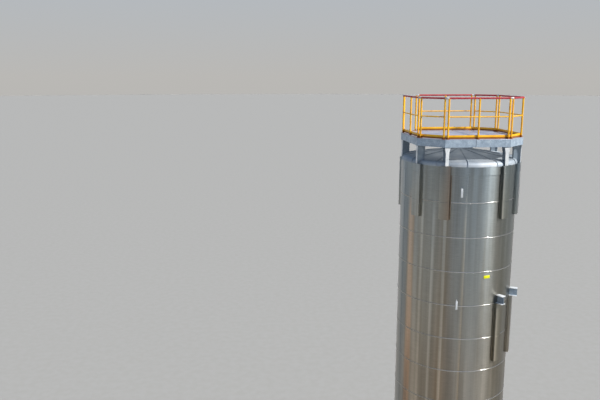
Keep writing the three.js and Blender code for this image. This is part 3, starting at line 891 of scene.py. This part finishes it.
DECK_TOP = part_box("deck")[1].z
DECK_EDGE = 0.002
JOINTS = [-1.6, -0.93, 0.0, 0.93, 1.6]
JOINT_HALF = 0.003
LOZENGES_TO_METRE = 30.0

deck_steel = new_finish("tread_plate", 0.55, 0.45)
tread_place = deck_steel.node_tree.nodes.new("ShaderNodeTexCoord")
tread_turn = deck_steel.node_tree.nodes.new("ShaderNodeMapping")
tread_turn.inputs["Rotation"].default_value = (0.0, 0.0, math.radians(45.0))
tread_turn.inputs["Scale"].default_value = (LOZENGES_TO_METRE, LOZENGES_TO_METRE, 1.0)
tread = deck_steel.node_tree.nodes.new("ShaderNodeTexVoronoi")
tread.voronoi_dimensions = "2D"
tread.inputs["Scale"].default_value = 1.0
tread.inputs["Randomness"].default_value = 0.0
deck_steel.node_tree.links.new(tread_place.outputs["Object"], tread_turn.inputs[0])
deck_steel.node_tree.links.new(tread_turn.outputs[0], tread.inputs["Vector"])
lozenges = ramp(deck_steel.node_tree, tread.outputs["Distance"], [(0.1, "ffffff"), (0.45, "000000")])
paint_over(deck_steel, clouded(deck_steel, 0.4, [(0.3, "aeb1c4"), (0.55, "c6c9da"), (0.8, "dcdce6")], 6.0))
dull(deck_steel, grain(deck_steel, 0.1), 0.35, 0.6)
relief(deck_steel, lozenges, 0.0012)

deck_outline = [(corner.x, corner.y) for corner in octagon(0.0)]
for i, (left, right) in enumerate(zip(JOINTS, JOINTS[1:])):
    work = bmesh.new()
    plate(work, deck_outline, DECK_TOP - FRAME_TOP, Matrix.Translation((0.0, 0.0, FRAME_TOP)))
    bmesh.ops.recalc_face_normals(work, faces=work.faces)
    if left > -flat:
        cut_half(work, left + JOINT_HALF, 1)
    if right < flat:
        cut_half(work, right - JOINT_HALF, -1)
    soften(work, list(work.verts), DECK_EDGE, 1)
    tank_piece(f"deck_plate_{i + 1}", work, deck_steel, "deck_plate", "deck")


# Railing: welded panels of round tube, one to each side of the platform, in safety yellow, scuffed, and
# darker brown at the foot, partly grime and partly painted shade. Every post stands on a small bolted
# foot plate. The open side has posts and a low sill, and no rails.

SIDE_NAMES = ["front_left", "front", "front_right", "right", "back_right", "back", "back_left", "left"]
OPEN_SIDE = "back_left"
POST_RADIUS = 0.024
POST_INSET = 0.038
POST_FROM_CORNER = 0.058
TOP_RAIL_HEIGHT = DECK_TOP + 1.085
POST_TOP = TOP_RAIL_HEIGHT - 0.012
MID_RAIL_HEIGHT = DECK_TOP + 0.597
MID_RAIL_RADIUS = 0.017
TOE_BOARD_HEIGHT = 0.1
TOE_BOARD_THICKNESS = 0.006
TOE_BOARD_LIFT = 0.01
BOARD_SUNK = 0.002
BOARD_END = 0.003
SILL_HEIGHT = 0.012
TUBE_SIDES = 20
FOOT_LENGTH_HALF = 0.045
FOOT_WIDTH_HALF = 0.034
FOOT_THICKNESS = 0.008
RAILING_EDGE = 0.0015
FOOT_BOLT_ALONG = 0.033
FOOT_BOLT_RADIUS = 0.007
FOOT_BOLT_HEAD = 0.006
GRIME_AND_SHADE_LOW = DECK_TOP + 0.05
GRIME_AND_SHADE_HIGH = DECK_TOP + 0.068

yellow = new_finish("safety_yellow", 0.0, 0.4)
yellow_tone = clouded(yellow, 0.25, [(0.3, "eda60a"), (0.55, "f9bb18"), (0.8, "ffcc34")], 5.0)
scuffs = clouded(yellow, 0.03, [(0.66, "ffffff"), (0.74, "8a6a3a")], 8.0)
# Grime and painted shade: a darker brown band along the foot of the posts and boards, next to the deck.
grime_and_shade_rise = up_tank(yellow, GRIME_AND_SHADE_LOW, GRIME_AND_SHADE_HIGH)
grime_and_shade = ramp(yellow.node_tree, grime_and_shade_rise, [(0.0, "8a5f16"), (1.0, "ffffff")])
scuffed = mix(yellow.node_tree, 0.5, yellow_tone, scuffs, "MULTIPLY")
paint_over(yellow, mix(yellow.node_tree, 0.9, scuffed, grime_and_shade, "MULTIPLY"))
dull(yellow, grain(yellow, 0.08), 0.3, 0.5)
relief(yellow, grain(yellow, 0.006), 0.0002)


def tube(work, start, end, radius):
    """A round tube between two points, closed at both ends."""
    run = end - start
    place = Matrix.Translation((start + end) / 2) @ run.to_track_quat("Z", "Y").to_matrix().to_4x4()
    rod(work, place, radius, -run.length / 2, run.length / 2, TUBE_SIDES)


def raised(point, height):
    """A plan point, lifted to a height."""
    return point + Vector((0.0, 0.0, height))


post_line = octagon(POST_INSET)
board_line = octagon(POST_INSET + POST_RADIUS - BOARD_SUNK)
for i, side in enumerate(SIDE_NAMES):
    start, stop = post_line[i], post_line[(i + 1) % 8]
    along = (stop - start).normalized()
    first, last = start + along * POST_FROM_CORNER, stop - along * POST_FROM_CORNER
    posts = [first, (start + stop) / 2, last] if i % 2 else [first, last]
    turn = Matrix.Rotation(math.atan2(along.y, along.x), 4, "Z")
    work = bmesh.new()
    for post in posts:
        tube(work, raised(post, DECK_TOP), raised(post, POST_TOP), POST_RADIUS)
        foot = Matrix.Translation(raised(post, DECK_TOP)) @ turn
        foot_high = (FOOT_LENGTH_HALF, FOOT_WIDTH_HALF, FOOT_THICKNESS)
        block(work, (-FOOT_LENGTH_HALF, -FOOT_WIDTH_HALF, 0.0), foot_high, foot, RAILING_EDGE)
        for x in (-FOOT_BOLT_ALONG, FOOT_BOLT_ALONG):
            spot = foot @ Matrix.Translation((x, 0.0, FOOT_THICKNESS))
            hex_bolt(work, spot, FOOT_BOLT_RADIUS, FOOT_BOLT_HEAD)
    board_start, board_stop = board_line[i], board_line[(i + 1) % 8]
    length = (board_stop - board_start).length
    board = Matrix.Translation(raised(board_start, DECK_TOP)) @ turn
    bottom, top = TOE_BOARD_LIFT, TOE_BOARD_LIFT + TOE_BOARD_HEIGHT
    if side == OPEN_SIDE:
        bottom, top = 0.0, SILL_HEIGHT
    board_high = (length - BOARD_END, TOE_BOARD_THICKNESS, top)
    block(work, (BOARD_END, 0.0, bottom), board_high, board, RAILING_EDGE)
    if side != OPEN_SIDE:
        tube(work, raised(first, MID_RAIL_HEIGHT), raised(last, MID_RAIL_HEIGHT), MID_RAIL_RADIUS)
    tank_piece(f"panel_{side}", work, yellow, "yellow_paint", f"railing_{side}")


# Top rail: red-painted tube along all but the open side. At each corner the runs meet in a plain grey
# cast elbow, clamped over the tube ends.

TOP_RAIL_RADIUS = 0.024
ELBOW_RADIUS = 0.029
ELBOW_REACH = 0.05
ELBOW_CAP_RADIUS = 0.018
ELBOW_CAP_TIP = 0.015
ELBOW_CAP_RISE = 0.036

red = new_finish("rail_red", 0.0, 0.45)
paint_over(red, clouded(red, 0.2, [(0.3, "9c2430"), (0.55, "b5303a"), (0.8, "c94c52")], 5.0))
dull(red, grain(red, 0.05), 0.35, 0.6)
relief(red, grain(red, 0.006), 0.0002)
rails = bmesh.new()
elbows = bmesh.new()
for i, side in enumerate(SIDE_NAMES):
    corner = raised(post_line[i], TOP_RAIL_HEIGHT)
    following = raised(post_line[(i + 1) % 8], TOP_RAIL_HEIGHT)
    run = (following - corner).normalized()
    if side != OPEN_SIDE:
        tube(rails, corner, following, TOP_RAIL_RADIUS)
        tube(elbows, corner, corner + run * ELBOW_REACH, ELBOW_RADIUS)
        tube(elbows, following - run * ELBOW_REACH, following, ELBOW_RADIUS)
    middle = Matrix.Translation(corner)
    bmesh.ops.create_uvsphere(elbows, u_segments=20, v_segments=12, radius=ELBOW_RADIUS, matrix=middle)
    rod(elbows, middle, ELBOW_CAP_RADIUS, 0.0, ELBOW_CAP_RISE, 16, ELBOW_CAP_TIP)
tank_piece("red_rail", rails, red, "red_paint", "top_rail")
cast_grey = new_finish("cast_elbows", 0.6, 0.45)
paint_over(cast_grey, clouded(cast_grey, 0.03, [(0.3, "b4b6b8"), (0.7, "dcdad6")]))
relief(cast_grey, grain(cast_grey, 0.004), 0.0003)
tank_piece("rail_elbows", elbows, cast_grey, "red_paint")


# Beam stubs: short lengths of galvanised wide-flange beam, welded to the vessel through the cladding
# to carry whatever is hung from the tank. Their flanges carry a lighter zinc colour as painted light,
# and the web of the one nearer the front a darker one as painted shade.

STUB_OUT = 0.22
STUB_HALF = 0.075
STUB_FLANGE = 0.016
STUB_WEB_HALF = 0.007
STUB_WEB_SUNK = 0.01
ROOT_FILLET = 0.014
INWARDS = Matrix.Rotation(-math.pi / 2, 4, "X")
STUB_WEB_FINISHES = [zinc_painted_shade, galvanised]

for i, bearing in enumerate(STUB_BEARINGS):
    low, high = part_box(f"beam_stub_{i + 1}")
    place = on_tank(bearing, WALL_RADIUS)
    work = bmesh.new()
    for bottom in (low.z, high.z - STUB_FLANGE):
        flange_high = (STUB_HALF, 0.0, bottom + STUB_FLANGE)
        block(work, (-STUB_HALF, -STUB_OUT, bottom), flange_high, place, PLATE_EDGE)
    tank_piece(f"stub_{i + 1}", work, zinc_painted_light, "galvanised_steel", f"beam_stub_{i + 1}")
    work = bmesh.new()
    web_low = (-STUB_WEB_HALF, -STUB_OUT, low.z + STUB_WEB_SUNK)
    web_high = (STUB_WEB_HALF, 0.0, high.z - STUB_WEB_SUNK)
    block(work, web_low, web_high, place)
    for z in (low.z + STUB_FLANGE, high.z - STUB_FLANGE):
        for side in (-1, 1):
            spot = place @ Matrix.Translation((side * STUB_WEB_HALF, FILLET_INSET - STUB_OUT, z))
            rod(work, spot @ INWARDS, ROOT_FILLET, 0.0, STUB_OUT - 2 * FILLET_INSET, 4)
    tank_piece(f"stub_web_{i + 1}", work, STUB_WEB_FINISHES[i], "galvanised_steel", f"beam_stub_{i + 1}")


# Pipe cleats: galvanised tee brackets in a lighter zinc colour as painted light, standing on edge on
# riveted pads of the wall's own sheet, one above another up the front. Clips can be bolted through them.

CLEATS = 4
CLEAT_BEARING = -15
CLEAT_REACH = 0.13
CLEAT_STEM_HALF = 0.006
CLEAT_STEM_SUNK = 0.004
CLEAT_HEAD_HALF = 0.026
CLEAT_HEAD = 0.012
CLEAT_END = 0.025
PAD_HALF = 0.055
PAD_PROUD = 0.006
PAD_SUNK = 0.004
PAD_RIVET_ACROSS = 0.042
PAD_RIVET_END = 0.03

for i in range(CLEATS):
    node = f"pipe_cleat_{i + 1}"
    low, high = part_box(node)
    foot, top = low.z + CLEAT_END, high.z - CLEAT_END
    place = on_tank(CLEAT_BEARING, WALL_RADIUS)
    work = bmesh.new()
    stem_low = (-CLEAT_STEM_HALF, -CLEAT_REACH - CLEAT_STEM_SUNK, foot)
    block(work, stem_low, (CLEAT_STEM_HALF, 0.0, top), place, FINE_EDGE)
    head_low = (-CLEAT_HEAD_HALF, -CLEAT_REACH - CLEAT_HEAD, foot)
    block(work, head_low, (CLEAT_HEAD_HALF, -CLEAT_REACH, top), place, PLATE_EDGE)
    tank_piece(f"cleat_{i + 1}", work, zinc_painted_light, "galvanised_steel", node)
    pad = bmesh.new()
    block(pad, (-PAD_HALF, -PAD_PROUD, low.z), (PAD_HALF, PAD_SUNK, high.z), place, FINE_EDGE)
    for x in (-PAD_RIVET_ACROSS, PAD_RIVET_ACROSS):
        for z in (low.z + PAD_RIVET_END, (low.z + high.z) / 2, high.z - PAD_RIVET_END):
            screw(pad, place @ Matrix.Translation((x, -PAD_PROUD, z)) @ OUTWARDS)
    tank_piece(f"cleat_pad_{i + 1}", pad, cladding, "wall_cladding", node)


# Manhole: a short round neck of plate welded through the wall, closed by a crowned stainless cover.
# The cover is bolted down all round, with a narrow gap for its gasket.

NECK_OUTER = 0.31
NECK_INNER = 0.28
NECK_SUNK = 0.03
NECK_REACH = 0.13
COVER_RADIUS = 0.34
COVER_THICKNESS = 0.07
GASKET = 0.004
COVER_EDGE = 0.004
COVER_SEAT = 0.032
CROWN_FOOT = 0.036
CROWN_RADIUS = COVER_RADIUS - 0.068
CROWN_EDGE = 0.006
CROWN_TURNS = (0.3, 0.6, 0.9, 1.2, 1.4)
COVER_BOLTS = 20
COVER_BOLT_RADIUS = 0.014
COVER_BOLT_HEAD = 0.014
BOLT_INSET = 0.032
MANHOLE_STEPS = 64
manhole_low, manhole_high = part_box("manhole_cover")
MANHOLE_MIDDLE = (manhole_low.z + manhole_high.z) / 2
front = Matrix.Translation((0, 0, MANHOLE_MIDDLE)) @ OUTWARDS


def turned_out(profile):
    """Turns a profile of (radius, distance from the tank's axis) points about the manhole's middle."""
    work = turned(profile, MANHOLE_STEPS, closed=False)
    bmesh.ops.transform(work, matrix=front, verts=work.verts)
    return work


neck_foot = WALL_RADIUS - NECK_SUNK
back = WALL_RADIUS + NECK_REACH
neck_profile = [
    (NECK_INNER, neck_foot), (NECK_OUTER, neck_foot), (NECK_OUTER, back),
    (NECK_INNER, back), (NECK_INNER, neck_foot),
]
tank_piece("neck", turned_out(neck_profile), mill_steel, "wall_cladding", "manhole_neck")
cover_steel = new_finish("cover_stainless", 1.0, 0.3)
cover_bloom = clouded(cover_steel, 0.15, [(0.3, "7486a0"), (0.6, "93a3b8"), (0.8, "aab4c2")], 5.0)
paint_over(cover_steel, cover_bloom)
dull(cover_steel, grain(cover_steel, 0.08), 0.25, 0.4)
relief(cover_steel, grain(cover_steel, 0.2, detail=1.0), 0.001)
crown_foot = back + CROWN_FOOT
crown_rise = COVER_THICKNESS - CROWN_FOOT
crown = [(CROWN_RADIUS * math.cos(t), crown_foot + crown_rise * math.sin(t)) for t in CROWN_TURNS]
cover_profile = [
    (0.0, back + GASKET), (COVER_RADIUS, back + GASKET), (COVER_RADIUS, back + COVER_SEAT - COVER_EDGE),
    (COVER_RADIUS - COVER_EDGE, back + COVER_SEAT), (CROWN_RADIUS + CROWN_EDGE, back + COVER_SEAT),
    (CROWN_RADIUS, crown_foot), *crown, (0.0, back + COVER_THICKNESS),
]
cover = turned_out(cover_profile)
bolt_seat = Matrix.Translation((0.0, COVER_RADIUS - BOLT_INSET, back + COVER_SEAT))
for i in range(COVER_BOLTS):
    spot = Matrix.Rotation(i * math.tau / COVER_BOLTS, 4, "Z") @ bolt_seat
    hex_bolt(cover, front @ spot, COVER_BOLT_RADIUS, COVER_BOLT_HEAD)
tank_piece("bolted_cover", cover, cover_steel, "cover_steel", "manhole_cover")


# Tags: three small plates of thin sheet, painted plain yellow and riveted to the cladding at both
# ends, one below another on the front.

TAG_BEARING = 14.3
TAG_HEIGHTS = [EAVE - 3.01, EAVE - 7.55, EAVE - 10.15]
TAG_HALF_WIDTH = 0.095
TAG_HALF_HEIGHT = 0.04
TAG_PROUD = 0.006
TAG_SUNK = 0.002
TAG_RIVET_ACROSS = 0.085

tag_yellow = new_finish("tag_yellow", 0.0, 0.4)
paint_over(tag_yellow, clouded(tag_yellow, 0.05, [(0.3, "d2d600"), (0.7, "ecec10")]))
for i, height in enumerate(TAG_HEIGHTS):
    work = bmesh.new()
    place = on_tank(TAG_BEARING, WALL_RADIUS, height)
    tag_low = (-TAG_HALF_WIDTH, -TAG_PROUD, -TAG_HALF_HEIGHT)
    block(work, tag_low, (TAG_HALF_WIDTH, TAG_SUNK, TAG_HALF_HEIGHT), place, FINE_EDGE)
    for x in (-TAG_RIVET_ACROSS, TAG_RIVET_ACROSS):
        screw(work, place @ Matrix.Translation((x, -TAG_PROUD, 0.0)) @ OUTWARDS)
    tank_piece(f"plain_tag_{i + 1}", work, tag_yellow, "yellow_paint")
